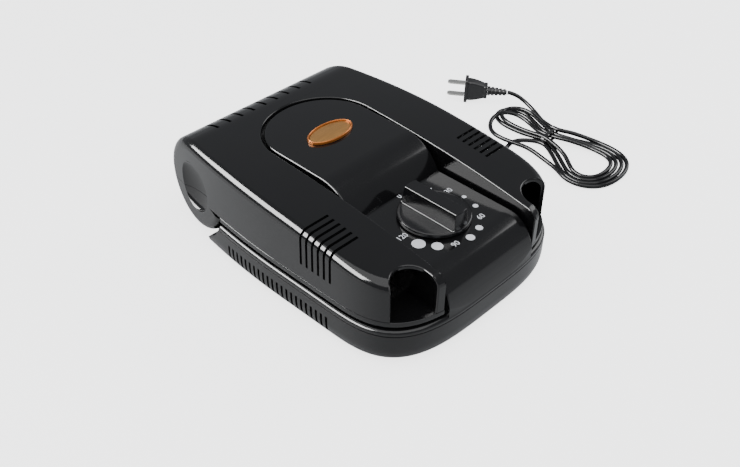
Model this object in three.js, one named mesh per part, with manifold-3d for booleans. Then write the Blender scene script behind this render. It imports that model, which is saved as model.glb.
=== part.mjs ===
// Folding electric shoe dryer: a base with blower and heater, and a U-shaped frame of two hollow air arms
// that lifts about a hinge barrel at the rear. Millimetres, +Z up, front at -Y, origin on the table under
// the centre of the dryer.
import * as THREE from "three";
import { mergeVertices } from "three/addons/utils/BufferGeometryUtils.js";
import Module from "manifold-3d";

const wasm = await Module();
wasm.setup();

// Driving dimensions
const LENGTH = 270;
const WIDTH = 200;
const WALL = 2.6;
const GAP = 0.3;

const FOOT_HEIGHT = 2;
const BASE_SEAM = 27;
const DECK_TOP = 31.6;
const SOFT_CORNER = 75;
const SOFT_POWER = 3.4;
const TAPER_START = -10;
const TAPER_SCALE = 1330;

const HINGE_Y = 96.5;
const HINGE_Z = 46.5;
const BARREL_RADIUS = 38.5;
const DRUM_RADIUS = 33.5;
const DRUM_HALF = 47;
const TRUNNION_RADIUS = 20;
const TRUNNION_BORE = 16;
const BASE_TAIL = 77;

const FRAME_BOTTOM = 33.3;
const FRAME_SEAM = 38.3;
const FRAME_TOP = 85;
const FRAME_TIP_DROP = 18.4;
const FRAME_INSET = 2.3;
const FRAME_FILLET = 7;
const GAP_HALF = 50;
const ARCH_Y = 43;
const ARCH_RISE = 45;
const CHEEK = GAP_HALF + WALL;

const CONSOLE_HALF = 47.5;
const CONSOLE_TOP = 84.6;
const PANEL_TOP = 62.5;
const CONSOLE_ARCH_RISE = 42.5;

const KNOB_Y = -75.2;
const KNOB_RADIUS = 27.8;
const BLOWER_Y = 8;

const CORD_RADIUS = 2;
const HANK_TOP = 8.6;
const BLADE_PITCH = 12.7;
const CORD_EXIT = new THREE.Vector3(96.4, 58, 13);

// Materials
const plastic = (color, roughness = 0.25) => new THREE.MeshStandardMaterial({ color, roughness, metalness: 0 });
const metal = (color, roughness = 0.35) => new THREE.MeshStandardMaterial({ color, roughness, metalness: 1 });
const gloss_black = plastic(0x0b0b0c, 0.12);
const satin_black = plastic(0x161618, 0.4);
const inner_grey = plastic(0x55575a, 0.6);
const heat_white = plastic(0xd8d2c4, 0.7);
const rubber = plastic(0x111111, 0.85);
const badge_gold = metal(0xb8905a, 0.35);
const badge_bronze = metal(0xa35416, 0.3);
const steel = metal(0x9a9c9f, 0.3);

// Booleans
function solid(geometry) {
  const bare = geometry.index ? geometry.toNonIndexed() : geometry.clone();
  bare.deleteAttribute("normal");
  bare.deleteAttribute("uv");
  const merged = mergeVertices(bare, 1e-4);
  return new wasm.Manifold(
    new wasm.Mesh({
      numProp: 3,
      vertProperties: merged.attributes.position.array,
      triVerts: new Uint32Array(merged.index.array),
    }),
  );
}

function geometryOf(manifold) {
  const mesh = manifold.getMesh();
  const geometry = new THREE.BufferGeometry();
  geometry.setAttribute("position", new THREE.BufferAttribute(new Float32Array(mesh.vertProperties), 3));
  geometry.setIndex(new THREE.BufferAttribute(new Uint32Array(mesh.triVerts), 1));
  const flat = geometry.toNonIndexed();
  flat.computeVertexNormals();
  return flat;
}

const unite = (...solids) => solids.reduce((all, next) => all.add(next));
const cut = (body, ...tools) => tools.reduce((left, tool) => left.subtract(tool), body);

// Simple solids
function box(x0, x1, y0, y1, z0, z1) {
  const geometry = new THREE.BoxGeometry(x1 - x0, y1 - y0, z1 - z0);
  return solid(geometry.translate((x0 + x1) / 2, (y0 + y1) / 2, (z0 + z1) / 2));
}

function discZ(radius, x, y, z0, z1, sides = 24) {
  const geometry = new THREE.CylinderGeometry(radius, radius, z1 - z0, sides);
  return solid(geometry.rotateX(Math.PI / 2).translate(x, y, (z0 + z1) / 2));
}

function discX(radius, x0, x1, y, z, sides = 24) {
  const geometry = new THREE.CylinderGeometry(radius, radius, x1 - x0, sides);
  return solid(geometry.rotateZ(Math.PI / 2).translate((x0 + x1) / 2, y, z));
}

const ringX = (outer, inner, x0, x1, y, z) => cut(discX(outer, x0, x1, y, z), discX(inner, x0 - 1, x1 + 1, y, z));

// A plan outline in X and Y, raised between two heights.
function prismZ(shape, z0, z1, curveSegments = 12) {
  const options = { depth: z1 - z0, bevelEnabled: false, curveSegments };
  return solid(new THREE.ExtrudeGeometry(shape, options).translate(0, 0, z0));
}

// A side outline in Y and Z, drawn out along X.
function prismX(shape, x0, x1, curveSegments = 12) {
  const options = { depth: x1 - x0, bevelEnabled: false, curveSegments };
  const geometry = new THREE.ExtrudeGeometry(shape, options);
  const turn = new THREE.Matrix4().makeBasis(
    new THREE.Vector3(0, 1, 0),
    new THREE.Vector3(0, 0, 1),
    new THREE.Vector3(1, 0, 0),
  );
  return solid(geometry.applyMatrix4(turn).translate(x0, 0, 0));
}

function mirrored(manifold) {
  const geometry = geometryOf(manifold).scale(-1, 1, 1);
  const position = geometry.attributes.position;
  for (let corner = 0; corner < position.count; corner += 3) {
    for (const axis of ["X", "Y", "Z"]) {
      const kept = position["get" + axis](corner + 1);
      position["set" + axis](corner + 1, position["get" + axis](corner + 2));
      position["set" + axis](corner + 2, kept);
    }
  }
  return solid(geometry);
}

const bothSides = (manifold) => manifold.add(mirrored(manifold));

// The plan outline of the dryer: soft front corners, sides that bow and narrow to a straight rear.
const sideHalf = (y) => WIDTH / 2 - Math.max(0, y - TAPER_START) ** 2 / TAPER_SCALE;

function outline(inset, frontSteps = 9, sideSteps = 5) {
  const half = [];
  for (let step = 0; step <= frontSteps; step++) {
    const turn = (step / frontSteps) * (Math.PI / 2);
    const x = (WIDTH / 2 - inset) * Math.sin(turn) ** (2 / SOFT_POWER);
    const y = SOFT_CORNER - LENGTH / 2 - (SOFT_CORNER - inset) * Math.cos(turn) ** (2 / SOFT_POWER);
    half.push([step === 0 ? 0 : x, y]);
  }
  const sideStart = SOFT_CORNER - LENGTH / 2;
  for (let step = 1; step <= sideSteps; step++) {
    const y = sideStart + ((LENGTH / 2 - sideStart) * step) / sideSteps;
    half.push([sideHalf(y) - inset, y]);
  }
  half.push([0, LENGTH / 2]);
  const left = half.slice(1, -1).reverse();
  return [...half, ...left.map(([x, y]) => [-x, y])];
}

// Level rings of the outline joined into one solid; each level is [inset, height or height above y].
function stack(levels) {
  const rings = levels.map(([inset, height]) =>
    outline(inset).map(([x, y]) => [x, y, typeof height === "function" ? height(y) : height]),
  );
  const count = rings[0].length;
  const points = rings.flat(2);
  const index = [];
  const quad = (a, b, c, d) => index.push(a, b, c, a, c, d);
  for (let level = 1; level < rings.length; level++) {
    for (let at = 0; at < count; at++) {
      const next = (at + 1) % count;
      const low = (level - 1) * count;
      const high = level * count;
      quad(low + at, low + next, high + next, high + at);
    }
  }
  const top = (rings.length - 1) * count;
  for (let at = 0; at < count / 2; at++) {
    const other = (count - at) % count;
    const nextOther = count - at - 1;
    if (at === 0) {
      index.push(0, nextOther, 1, top, top + 1, top + nextOther);
    } else if (at === count / 2 - 1) {
      index.push(at, other, at + 1, top + at, top + at + 1, top + other);
    } else {
      quad(at, other, nextOther, at + 1);
      quad(top + at, top + at + 1, top + nextOther, top + other);
    }
  }
  const geometry = new THREE.BufferGeometry();
  geometry.setAttribute("position", new THREE.Float32BufferAttribute(points, 3));
  geometry.setIndex(index);
  return solid(geometry);
}

// The top of the frame: level over the barrel, then falling ever faster to the tips of the arms.
const frameTop = (y) => FRAME_TOP - FRAME_TIP_DROP * (Math.max(0, HINGE_Y - y) / (HINGE_Y + LENGTH / 2)) ** 2.5;

// Parts
const dryer = new THREE.Group();
const base = new THREE.Group();
const frame = new THREE.Group();
dryer.add(base, frame);

function part(group, name, shape, material) {
  const geometry = shape.getMesh ? geometryOf(shape) : shape;
  const mesh = new THREE.Mesh(geometry, material);
  mesh.name = name;
  group.add(mesh);
  return mesh;
}

const barrelSpace = (radius, x0, x1) => discX(radius, x0, x1, HINGE_Y, HINGE_Z);

const SCREW_SPOTS = [
  [72, -92],
  [80, 40],
];
const TALL = 400;

function baseBottomShell() {
  const outer = stack([[8, FOOT_HEIGHT], [3.4, 3.6], [0.8, 8], [0, 14], [0, BASE_SEAM - GAP / 2]]);
  const inner = stack([[8, FOOT_HEIGHT + WALL], [WALL + 0.6, 9], [WALL, TALL]]);
  const tail = box(-TALL, TALL, BASE_TAIL, TALL, 0, TALL);
  const barrel = bothSides(barrelSpace(BARREL_RADIUS + 3, DRUM_HALF + 1, TALL));
  const drum = barrelSpace(DRUM_RADIUS + GAP, -DRUM_HALF - 1, DRUM_HALF + 1);
  const innerTail = box(-TALL, TALL, BASE_TAIL - WALL, TALL, 0, TALL);
  const innerBarrel = bothSides(barrelSpace(BARREL_RADIUS + 3 + WALL, DRUM_HALF + 1 - WALL, TALL));
  const innerDrum = barrelSpace(DRUM_RADIUS + GAP + WALL, -DRUM_HALF - 1, DRUM_HALF + 1);
  const shell = cut(cut(outer, tail, barrel, drum), cut(inner, innerTail, innerBarrel, innerDrum));
  const slots = [];
  for (let slot = 0; slot < 22; slot++) {
    const y = 46 - 5.23 * slot;
    slots.push(box(88, 110, y - 1.1, y + 1.1, 6.5, 20));
  }
  const gland = discX(4.3, 80, 110, CORD_EXIT.y, CORD_EXIT.z, 20);
  const screwHoles = SCREW_SPOTS.map(([x, y]) => discZ(2, x, y, 0, 8, 12));
  const ductPort = box(-30.3, 30.3, 64, 80, 8.7, 40);
  return cut(shell, bothSides(unite(...slots)), gland, bothSides(unite(...screwHoles)), ductPort);
}

function consoleSolid(inset, top) {
  const half = CONSOLE_HALF - inset;
  const plan = new THREE.Shape();
  plan.moveTo(-half, -LENGTH);
  plan.lineTo(half, -LENGTH);
  plan.lineTo(half, ARCH_Y);
  plan.absellipse(0, ARCH_Y, half, CONSOLE_ARCH_RISE - inset, 0, Math.PI, false, 0);
  const side = new THREE.Shape();
  side.moveTo(-LENGTH / 2 + 0.2 + inset, 0);
  side.lineTo(-LENGTH / 2 + 0.4 + inset, DECK_TOP);
  side.bezierCurveTo(-131 + inset, 52, -124, PANEL_TOP - inset, -106, PANEL_TOP - inset);
  side.lineTo(-39 + inset, PANEL_TOP - inset);
  side.bezierCurveTo(-32 + inset, 75, -20, top, -4, top);
  side.lineTo(LENGTH, top);
  side.lineTo(LENGTH, 0);
  const tongue = prismZ(plan, 0, TALL, 16).intersect(prismX(side, -TALL, TALL, 8));
  const rear = box(-half, half, -20, 84, 0, CONSOLE_TOP - 7.6 - inset);
  return tongue.add(rear);
}

function baseTopShell() {
  const low = BASE_SEAM + GAP / 2;
  const deck = stack([[0.15, low], [0, low + 0.5], [0, 29.6], [0.5, 30.8], [1.5, 31.4], [2.8, DECK_TOP]]);
  const deckHollow = stack([[WALL, 0], [WALL, DECK_TOP - WALL]]);
  const within = stack([[0.4, 0], [0.4, TALL]]);
  const bosses = SCREW_SPOTS.map(([x, y]) => discZ(4, x, y, FOOT_HEIGHT + WALL + 1, DECK_TOP - 1, 16));
  const bossHoles = SCREW_SPOTS.map(([x, y]) => discZ(1.8, x, y, 0, DECK_TOP - 3, 12));
  const outer = cut(unite(deck, consoleSolid(0, CONSOLE_TOP).intersect(within)), box(-TALL, TALL, -TALL, TALL, -TALL, low));
  const hollow = consoleSolid(WALL, CONSOLE_TOP - WALL).intersect(stack([[3, 0], [3, TALL]]));
  const shell = unite(cut(outer, deckHollow, hollow), bothSides(unite(...bosses)));
  return cut(
    shell,
    bothSides(unite(...bossHoles)),
    bothSides(barrelSpace(BARREL_RADIUS + 3, CONSOLE_HALF + 0.5, TALL)),
    barrelSpace(DRUM_RADIUS + GAP, -DRUM_HALF - 1, DRUM_HALF + 1),
    discZ(6, 0, KNOB_Y, PANEL_TOP - 6, PANEL_TOP + 4),
    box(-TALL, TALL, BASE_TAIL, TALL, 0, HINGE_Z),
  );
}

// The frame as one closed form; side profile and plan outline meet.
function frameForm(inset, barrel, bottom) {
  const fillet = FRAME_FILLET;
  const levels = [[FRAME_INSET + inset, 0], [FRAME_INSET + inset, (y) => frameTop(y) - inset - fillet]];
  const steps = 2;
  for (let step = 1; step <= steps; step++) {
    const turn = ((step / steps) * Math.PI) / 2;
    const drop = fillet * (1 - Math.sin(turn));
    const pull = fillet * (1 - Math.cos(turn));
    levels.push([FRAME_INSET + inset + pull, (y) => frameTop(y) - inset - drop]);
  }
  const side = new THREE.Shape();
  const under = Math.asin((bottom - HINGE_Z) / barrel);
  side.moveTo(-LENGTH, bottom);
  side.lineTo(HINGE_Y - barrel * Math.cos(under), bottom);
  side.absarc(HINGE_Y, HINGE_Z, barrel, Math.PI - under, Math.PI / 2 + 2 * Math.PI, false);
  side.lineTo(-LENGTH, HINGE_Z + barrel);
  return stack(levels).intersect(prismX(side, -TALL, TALL, 26));
}

function gapPlan(half, rise) {
  const plan = new THREE.Shape();
  plan.moveTo(-half, -LENGTH);
  plan.lineTo(half, -LENGTH);
  plan.lineTo(half, ARCH_Y);
  plan.absellipse(0, ARCH_Y, half, rise, 0, Math.PI, false, 0);
  return plan;
}

// What both halves of the frame have in common: the form less the gap, the hinge space and the arms' hollows.
function frameHollowed() {
  const form = frameForm(0, BARREL_RADIUS, FRAME_BOTTOM);
  const hollow = frameForm(WALL, BARREL_RADIUS - WALL, FRAME_BOTTOM + WALL);
  const armHollow = cut(
    hollow.intersect(bothSides(box(CHEEK, TALL, -TALL, TALL, 0, TALL))),
    bothSides(discX(25, 78, TALL, HINGE_Y, HINGE_Z)),
  );
  const plateUnder = box(-GAP_HALF, GAP_HALF, -TALL, HINGE_Y, -TALL, FRAME_TOP - WALL - 0.6);
  const lip = new THREE.Shape();
  lip.moveTo(HINGE_Y, HINGE_Z);
  lip.lineTo(HINGE_Y + 54, HINGE_Z - 60);
  lip.lineTo(-LENGTH, HINGE_Z - 60);
  lip.lineTo(-LENGTH, HINGE_Z);
  const dish = new THREE.Shape();
  dish.moveTo(0, 0);
  dish.lineTo(0, 6);
  dish.quadraticCurveTo(12, 5.2, 18, 3.4);
  dish.lineTo(21.5, 0);
  const dishProfile = dish.getPoints(3).map((point) => new THREE.Vector2(point.x, -point.y));
  dishProfile.push(new THREE.Vector2(21.5, 12), new THREE.Vector2(0, 12));
  const dishSolid = new THREE.LatheGeometry(dishProfile, 20).rotateZ(-Math.PI / 2);
  const dishTool = solid(dishSolid.translate(sideHalf(HINGE_Y) - FRAME_INSET, HINGE_Y, HINGE_Z));
  return cut(
    form,
    prismZ(gapPlan(GAP_HALF, ARCH_RISE), -10, TALL, 14),
    barrelSpace(BARREL_RADIUS - WALL - 0.6, -GAP_HALF, GAP_HALF),
    plateUnder,
    prismX(lip, -GAP_HALF, GAP_HALF),
    armHollow,
    barrelSpace(TRUNNION_RADIUS + GAP, -CHEEK - 1, CHEEK + 1),
    bothSides(dishTool),
  );
}

const FRAME_SCREWS = [
  [76, -70],
  [76, 20],
];

function frameUpperShell(hollowed) {
  const tools = [];
  for (let slot = 0; slot < 6; slot++) {
    const y = -36.4 - 5.84 * slot;
    tools.push(box(70.6, 110, y - 1.1, y + 1.1, 51.3, 100));
  }
  const mouth = new THREE.Shape();
  mouth.moveTo(57, -150);
  mouth.lineTo(84, -150);
  mouth.lineTo(88, -119);
  mouth.absarc(72.5, -119, 15.5, 0, Math.PI, false);
  tools.push(prismZ(mouth, FRAME_SEAM - 2, TALL, 8));
  const vents = [];
  for (let vent = 0; vent < 9; vent++) {
    const x = -57 + 12.4 * vent;
    vents.push(box(x - 1.2, x + 1.2, 111.5, 140, 68, 90));
  }
  const upper = cut(hollowed, box(-TALL, TALL, -TALL, TALL, -10, FRAME_SEAM + GAP / 2));
  const inside = frameForm(1, BARREL_RADIUS - 1, FRAME_BOTTOM);
  const bosses = FRAME_SCREWS.map(([x, y]) => discZ(4.5, x, y, FRAME_SEAM + GAP / 2, TALL, 16));
  const holes = FRAME_SCREWS.map(([x, y]) => discZ(1.8, x, y, 0, 70, 12));
  const bossed = unite(upper, bothSides(unite(...bosses)).intersect(inside));
  return cut(bossed, bothSides(unite(...tools)), unite(...vents), bothSides(unite(...holes)));
}

function frameLowerShell(hollowed) {
  const lower = cut(hollowed, box(-TALL, TALL, -TALL, TALL, FRAME_SEAM - GAP / 2, TALL));
  const bosses = FRAME_SCREWS.map(([x, y]) => discZ(6, x, y, FRAME_BOTTOM, FRAME_SEAM - GAP / 2, 16));
  const heads = FRAME_SCREWS.map(([x, y]) => discZ(3.6, x, y, 0, FRAME_BOTTOM + 2, 16));
  const holes = FRAME_SCREWS.map(([x, y]) => discZ(2, x, y, 0, 60, 12));
  const bossed = unite(lower, bothSides(unite(...bosses)));
  return cut(bossed, bothSides(unite(...heads)), bothSides(unite(...holes)));
}

// A pan-head screw driven upwards, its head's low face at the given height.
function screw(x, y, headLow, headHeight, shankTop) {
  const head = discZ(3.2, x, y, headLow, headLow + headHeight, 8);
  return head.add(discZ(1.5, x, y, headLow + headHeight - 0.1, shankTop, 6));
}

// Hinge
function hingeDrum() {
  const can = barrelSpace(DRUM_RADIUS, -DRUM_HALF, DRUM_HALF);
  const hollow = barrelSpace(DRUM_RADIUS - WALL, -DRUM_HALF + WALL, DRUM_HALF - WALL);
  const ends = barrelSpace(TRUNNION_RADIUS + GAP, -DRUM_HALF - 1, DRUM_HALF + 1);
  const port = box(-26, 26, 55, 85, 12, 30);
  return cut(can, hollow, ends, port);
}

function trunnion() {
  const tube = barrelSpace(TRUNNION_RADIUS, DRUM_HALF - WALL - 3, CHEEK + 6);
  const flange = barrelSpace(TRUNNION_RADIUS + 4, DRUM_HALF - WALL - 3, DRUM_HALF - WALL - GAP);
  return cut(unite(tube, flange), barrelSpace(TRUNNION_BORE, 0, TALL));
}

const washer = () => ringX(TRUNNION_RADIUS + 7, TRUNNION_RADIUS + GAP, DRUM_HALF + GAP, GAP_HALF - GAP, HINGE_Y, HINGE_Z);

// Blower, heater and timer
function blowerHousing() {
  const outside = unite(prismZ(scrollPlan(1.6), 7, 29), box(8.4, 41.6, BLOWER_Y, 52, 7, 29));
  const inside = unite(prismZ(scrollPlan(0), 8.6, 27.4), box(10, 40, BLOWER_Y, 53, 8.6, 27.4));
  return cut(outside, inside, discZ(22, 0, BLOWER_Y, 0, 10, 20), discZ(4, 0, BLOWER_Y, 20, 40, 16));
}

function scrollPlan(grow) {
  const plan = new THREE.Shape();
  const turns = 28;
  for (let step = 0; step < turns; step++) {
    const turn = (step / turns) * 2 * Math.PI - Math.PI * 1.5;
    const radius = 33 + (7 * step) / turns + grow;
    const x = radius * Math.cos(turn);
    const y = BLOWER_Y + radius * Math.sin(turn);
    if (step === 0) plan.moveTo(x, y);
    else plan.lineTo(x, y);
  }
  return plan;
}

function impeller() {
  const plate = discZ(29, 0, BLOWER_Y, 11, 12.5, 28);
  const hub = discZ(6, 0, BLOWER_Y, 11, 24, 20);
  const blades = [];
  const count = 12;
  for (let blade = 0; blade < count; blade++) {
    const geometry = new THREE.BoxGeometry(9, 1.2, 13.5).rotateZ(0.6).translate(24, 0, 18.5);
    geometry.rotateZ((blade / count) * 2 * Math.PI).translate(0, BLOWER_Y, 0);
    blades.push(solid(geometry));
  }
  const rim = cut(discZ(29, 0, BLOWER_Y, 24.5, 26, 28), discZ(20, 0, BLOWER_Y, 20, 30, 28));
  return cut(unite(plate, hub, ...blades, rim), discZ(1.8, 0, BLOWER_Y, 0, 40, 16));
}

function motor() {
  const can = discZ(18, 0, BLOWER_Y, 29.4, 52, 24);
  const boss = discZ(6, 0, BLOWER_Y, 51, 56, 20);
  return cut(unite(can, boss), discZ(1.9, 0, BLOWER_Y, 0, 50, 16));
}

function heaterFrame() {
  return cut(box(-38, 38, 53, 63, 6, 31), box(-35, 35, 50, 66, 9, 28));
}

function airDuct() {
  const outside = box(-30, 30, 63.3, 76, 9, 30);
  return cut(outside, box(-28, 28, 60, 80, 11, 28), barrelSpace(DRUM_RADIUS + GAP, -40, 40));
}

function heaterElement() {
  const strips = [];
  for (let strip = 0; strip < 9; strip++) {
    const x = -32 + 8 * strip;
    strips.push(box(x - 0.8, x + 0.8, 54.5, 61.5, 9.3, 27.7));
  }
  return unite(...strips, box(-33, 33, 57, 59, 17.5, 19.5));
}

function timerKnob() {
  const discProfile = [
    new THREE.Vector2(0, PANEL_TOP + 0.6),
    new THREE.Vector2(KNOB_RADIUS - 0.6, PANEL_TOP + 0.6),
    new THREE.Vector2(KNOB_RADIUS, PANEL_TOP + 1.2),
    new THREE.Vector2(KNOB_RADIUS, PANEL_TOP + 3),
    new THREE.Vector2(KNOB_RADIUS - 1.2, PANEL_TOP + 4),
    new THREE.Vector2(0, PANEL_TOP + 4.4),
  ];
  const disc = solid(new THREE.LatheGeometry(discProfile, 32).rotateX(Math.PI / 2).translate(0, KNOB_Y, 0));
  const grip = new THREE.Shape();
  const low = PANEL_TOP + 3.5;
  const high = PANEL_TOP + 16;
  grip.moveTo(-7.5, low);
  grip.lineTo(7.5, low);
  grip.lineTo(6.2, high - 1.5);
  grip.quadraticCurveTo(6, high, 4.5, high);
  grip.lineTo(-4.5, high);
  grip.quadraticCurveTo(-6, high, -6.2, high - 1.5);
  const options = { depth: 2 * KNOB_RADIUS, bevelEnabled: false, curveSegments: 3 };
  const barGeometry = new THREE.ExtrudeGeometry(grip, options).rotateX(Math.PI / 2);
  const bar = solid(barGeometry.translate(0, KNOB_Y + KNOB_RADIUS, 0));
  const round = discZ(KNOB_RADIUS - 0.4, 0, KNOB_Y, 0, TALL, 32);
  return cut(unite(disc, bar.intersect(round)), discZ(3.3, 0, KNOB_Y, 0, PANEL_TOP + 12, 20));
}

function timerMechanism() {
  const body = discZ(21, 0, KNOB_Y, 34, 55, 20);
  const collar = discZ(5.6, 0, KNOB_Y, 54, PANEL_TOP - 0.3, 20);
  return cut(unite(body, collar), discZ(3.3, 0, KNOB_Y, 44, TALL, 20));
}

// Badge
function oval(halfX, halfY, z0, z1) {
  const plan = new THREE.Shape();
  plan.absellipse(0, 34, halfX, halfY, 0, 2 * Math.PI, false, 0);
  return prismZ(plan, z0, z1, 16);
}

// Cord
function tube(points, radius, sides, steps) {
  const route = new THREE.CatmullRomCurve3(points.map(([x, y, z]) => new THREE.Vector3(x, y, z)));
  const section = new THREE.Shape();
  for (let side = 0; side < sides; side++) {
    const turn = (side / sides) * 2 * Math.PI;
    const x = radius * Math.cos(turn);
    const y = radius * Math.sin(turn);
    if (side === 0) section.moveTo(x, y);
    else section.lineTo(x, y);
  }
  return new THREE.ExtrudeGeometry(section, { steps, bevelEnabled: false, extrudePath: route });
}

const LEAD_ROUTE = [
  [121, 58, 13],
  [125, 57.9, 12.6],
  [136, 55.5, 6],
  [147, 48, 2.3],
  [155, 37, 2.2],
  [159, 24, 2.2],
  [163, 11, 2.2],
  [170.5, -1, 2.2],
  [180.5, -6.6, 2.2],
  [190.67, -4.1, 2.2],
];
const TAIL_ROUTE = [
  [238.8, -15.1, 5.4],
  [243.6, -8.6, 3.6],
  [250, 1, 2.3],
  [256, 11, 2.2],
  [260, 20, 2.8],
  [260.8, 28, 5.6],
  [258.9, 35, 9.8],
  [255.7, 40.7, 12.4],
  [252.5, 45.3, 12.7],
];

// A tapered, ribbed sleeve standing on its foot along +Z, with a flange if it seats in a wall.
function sleeve(length, footRadius, tipRadius, flange, ribs) {
  const profile = [new THREE.Vector2(0, 0)];
  if (flange > 0) profile.push(new THREE.Vector2(footRadius + 2, 0), new THREE.Vector2(footRadius + 2, flange));
  const pitch = (length - flange) / ribs;
  for (let rib = 0; rib < ribs; rib++) {
    const low = flange + rib * pitch;
    const radius = footRadius + ((tipRadius - footRadius) * rib) / (ribs - 1);
    profile.push(new THREE.Vector2(radius, low), new THREE.Vector2(radius, low + pitch * 0.62));
    profile.push(new THREE.Vector2(radius - 0.8, low + pitch * 0.7), new THREE.Vector2(radius - 0.8, low + pitch));
  }
  profile.push(new THREE.Vector2(0, length));
  return new THREE.LatheGeometry(profile, 9).rotateX(Math.PI / 2);
}

// The folded cord as one form: two lobes drawn in at a waist, and one wide turn that passes the waist.
function hank() {
  const plan = new THREE.Shape();
  plan.moveTo(191.9, -6.9);
  plan.lineTo(190.1, -1.1);
  plan.quadraticCurveTo(187, 32, 216, 33);
  plan.quadraticCurveTo(258, 44, 254, 22);
  plan.lineTo(236.5, -13.8);
  plan.lineTo(240.7, -17);
  plan.lineTo(240.7, -27);
  plan.quadraticCurveTo(250, -52, 258, -76);
  plan.quadraticCurveTo(260, -97, 236, -101);
  plan.quadraticCurveTo(222, -113, 208, -101);
  plan.quadraticCurveTo(184, -98, 185, -80);
  plan.quadraticCurveTo(190, -54, 203, -30);
  return cut(prismZ(plan, 0.3, HANK_TOP, 8), box(208.6, 215.2, -29, -18, -1, TALL));
}

// The tie: a strap over the waist with a leg on each side.
function tie() {
  const outside = box(212, 243, -25.6, -21.4, 0, HANK_TOP + 2);
  return cut(outside, box(214, 241, -TALL, TALL, -1, HANK_TOP + GAP));
}

const PLUG_ANGLE = 125;
const PLUG_FACE = new THREE.Vector3(228.5, 79.5, 12.7);

// Places what was made with the plug's face at the origin and its blades along +Y.
function plugTurned(geometry) {
  const turn = THREE.MathUtils.degToRad(PLUG_ANGLE - 90);
  return geometry.rotateZ(turn).translate(PLUG_FACE.x, PLUG_FACE.y, PLUG_FACE.z);
}

// The plug: a face plate with round corners, and a grip that narrows towards the cord.
function plugBody() {
  const plate = new THREE.Shape();
  plate.moveTo(-7, -9);
  plate.quadraticCurveTo(-7, -12.4, -4, -12.4);
  plate.lineTo(4, -12.4);
  plate.quadraticCurveTo(7, -12.4, 7, -9);
  plate.lineTo(7, 9);
  plate.quadraticCurveTo(7, 12.4, 4, 12.4);
  plate.lineTo(-4, 12.4);
  plate.quadraticCurveTo(-7, 12.4, -7, 9);
  const options = { depth: 3, bevelEnabled: false, curveSegments: 4 };
  const face = solid(new THREE.ExtrudeGeometry(plate, options).rotateX(Math.PI / 2));
  const side = new THREE.Shape();
  side.moveTo(-2.9, -10.6);
  side.lineTo(-2.9, 10.6);
  side.lineTo(-8, 10.4);
  side.quadraticCurveTo(-15, 9.6, -22, 5);
  side.lineTo(-22, -5);
  side.quadraticCurveTo(-15, -9.6, -8, -10.4);
  const above = new THREE.Shape();
  above.moveTo(-5.6, 0);
  above.lineTo(-5.6, -8);
  above.quadraticCurveTo(-5.2, -15, -4.4, -22);
  above.lineTo(4.4, -22);
  above.quadraticCurveTo(5.2, -15, 5.6, -8);
  above.lineTo(5.6, 0);
  const grip = prismX(side, -10, 10, 4).intersect(prismZ(above, -20, 20, 4));
  return plugTurned(geometryOf(unite(face, grip)));
}

function plugBlade(height) {
  const side = new THREE.Shape();
  side.moveTo(-3.15, 0.3);
  side.lineTo(3.15, 0.3);
  side.lineTo(3.15, 15);
  side.lineTo(1.6, 17);
  side.lineTo(-1.6, 17);
  side.lineTo(-3.15, 15);
  const geometry = new THREE.ExtrudeGeometry(side, { depth: 1.5, bevelEnabled: false });
  return plugTurned(geometry.translate(0, 0, height - 0.75));
}

// Assembly
part(base, "base_bottom_shell", baseBottomShell(), gloss_black);
part(base, "base_top_shell", baseTopShell(), gloss_black);
for (const [side, sign] of [["left", -1], ["right", 1]]) {
  part(base, "foot_front_" + side, discZ(7, sign * 62, -104, 0, FOOT_HEIGHT - GAP, 12), rubber);
  part(base, "foot_rear_" + side, discZ(7, sign * 62, 58, 0, FOOT_HEIGHT - GAP, 12), rubber);
}
SCREW_SPOTS.forEach(([x, y], spot) => {
  part(base, "base_screw_right_" + (spot + 1), screw(x, y, 0.5, 1.2, DECK_TOP - 4), steel);
  part(base, "base_screw_left_" + (spot + 1), screw(-x, y, 0.5, 1.2, DECK_TOP - 4), steel);
});
part(base, "badge_rim", cut(oval(22, 11.5, CONSOLE_TOP + GAP, CONSOLE_TOP + 2.6), oval(20.4, 9.9, 0, TALL)), badge_bronze);
part(base, "badge_plate", oval(20.1, 9.6, CONSOLE_TOP + GAP, CONSOLE_TOP + 2.2), badge_gold);

part(base, "blower_housing", blowerHousing(), inner_grey);
part(base, "motor", motor(), steel);
part(base, "heater_frame", heaterFrame(), heat_white);
part(base, "heater_element", heaterElement(), steel);
part(base, "thermal_cutout", discZ(5, 25, 46, 31.5, 36, 20), steel);
part(base, "air_duct", airDuct(), inner_grey);
part(base, "timer_mechanism", timerMechanism(), inner_grey);
part(base, "terminal_block", box(-20, 20, -42, -31, 6, 18), heat_white);
part(base, "cord_clamp", box(74, 86, 50, 58, 18, 22), satin_black);

part(base, "hinge_drum", hingeDrum(), satin_black);
part(base, "trunnion_right", trunnion(), satin_black);
part(base, "trunnion_left", mirrored(trunnion()), satin_black);
part(base, "hinge_washer_right", washer(), rubber);
part(base, "hinge_washer_left", mirrored(washer()), rubber);

const hollowedFrame = frameHollowed();
part(frame, "frame_upper_shell", frameUpperShell(hollowedFrame), gloss_black);
part(frame, "frame_lower_shell", frameLowerShell(hollowedFrame), gloss_black);
FRAME_SCREWS.forEach(([x, y], spot) => {
  part(frame, "frame_screw_right_" + (spot + 1), screw(x, y, FRAME_BOTTOM + GAP, 1.4, 66), steel);
  part(frame, "frame_screw_left_" + (spot + 1), screw(-x, y, FRAME_BOTTOM + GAP, 1.4, 66), steel);
});

part(dryer, "timer_knob", timerKnob(), satin_black);
part(dryer, "timer_shaft", discZ(3, 0, KNOB_Y, 44.3, PANEL_TOP + 11.7, 20), steel);
part(dryer, "blower_impeller", impeller(), inner_grey);
part(dryer, "motor_shaft", discZ(1.5, 0, BLOWER_Y, 10.5, 49.7, 16), steel);

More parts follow.
